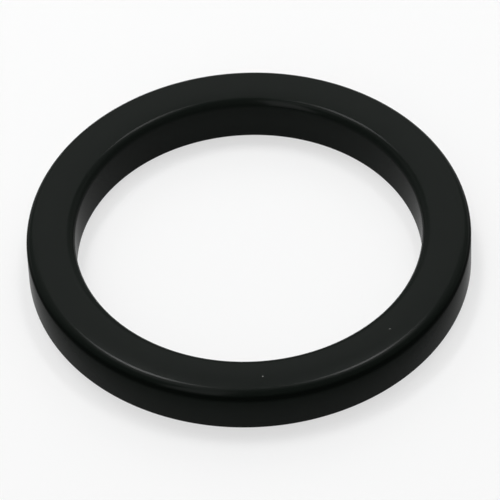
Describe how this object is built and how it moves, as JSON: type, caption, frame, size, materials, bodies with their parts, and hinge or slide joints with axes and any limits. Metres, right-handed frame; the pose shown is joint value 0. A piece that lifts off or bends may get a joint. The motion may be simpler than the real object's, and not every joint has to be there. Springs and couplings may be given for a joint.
{
  "type": "group head gasket",
  "caption": "Black moulded rubber ring with a square section and rounded upper edges, which seals the brewing group of a coffee machine against the rim of the filter holder.",
  "frame": {"origin": "centre of the flat sealing face, on the axis of the ring", "axes": "+Z along the axis of the ring, from the flat sealing face towards the face with the rounded edges"},
  "size_m": [0.073, 0.073, 0.008],
  "materials": {
    "black_rubber": "smooth satin moulding"
  },
  "bodies": {
    "root": {"gasket_ring": "black_rubber"}
  },
  "joints": []
}
